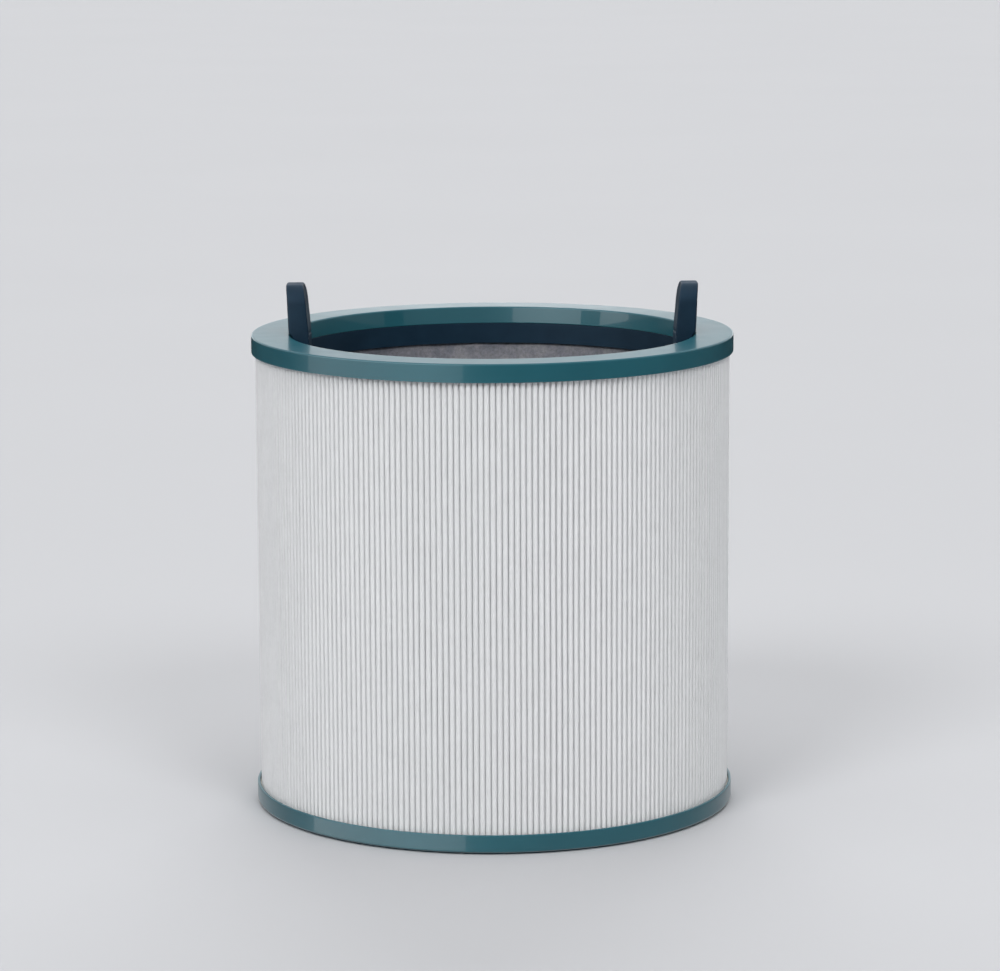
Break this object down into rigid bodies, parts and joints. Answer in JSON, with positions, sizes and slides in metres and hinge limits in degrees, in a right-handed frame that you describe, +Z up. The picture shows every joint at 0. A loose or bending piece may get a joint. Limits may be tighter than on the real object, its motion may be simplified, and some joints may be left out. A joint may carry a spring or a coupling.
{
  "type": "air purifier filter cartridge",
  "caption": "Round pleated filter cartridge with glossy end rings, a carbon felt lining and spring tabs that clip it into a tower air purifier.",
  "frame": {"origin": "centre of the surface the cartridge stands on, under the bottom gasket", "axes": "+Z up the cylinder's axis towards the tabs, X through both tabs, -Y is the front"},
  "size_m": [0.19, 0.19, 0.2066],
  "materials": {
    "teal_plastic": "glossy moulded plastic",
    "navy_plastic": "satin moulded plastic",
    "filter_paper": "matt pleated fibre paper",
    "carbon_felt": "matt needled felt",
    "resin": "cured adhesive",
    "foam": "closed-cell foam",
    "tape": "non-woven tape"
  },
  "bodies": {
    "cartridge": {"top_end_ring": "teal_plastic", "top_potting": "resin", "clip_collar": "navy_plastic", "pleat_pack": "filter_paper", "pleat_seam_strip": "resin", "carbon_felt_sleeve": "carbon_felt", "carbon_seam_tape": "tape", "bottom_collar": "navy_plastic", "bottom_potting": "resin", "bottom_end_ring": "teal_plastic", "bottom_gasket": "foam", "spacer_bead_1": "resin", "spacer_bead_2": "resin", "spacer_bead_3": "resin", "spacer_bead_4": "resin", "spacer_bead_5": "resin", "spacer_bead_6": "resin", "spacer_bead_7": "resin"},
    "right_tab": {"release_tab_right": "navy_plastic"},
    "left_tab": {"release_tab_left": "navy_plastic"}
  },
  "joints": [
    {"name": "right_tab_flex", "type": "hinge", "parent": "cartridge", "child": "right_tab", "pos_m": [0.076, 0, 0.1863], "axis": [0, 1, 0], "range_deg": [-4, 8], "stiffness_Nm_per_rad": 1.2},
    {"name": "left_tab_flex", "type": "hinge", "parent": "cartridge", "child": "left_tab", "pos_m": [-0.076, 0, 0.1863], "axis": [0, -1, 0], "range_deg": [-4, 8], "stiffness_Nm_per_rad": 1.2}
  ]
}
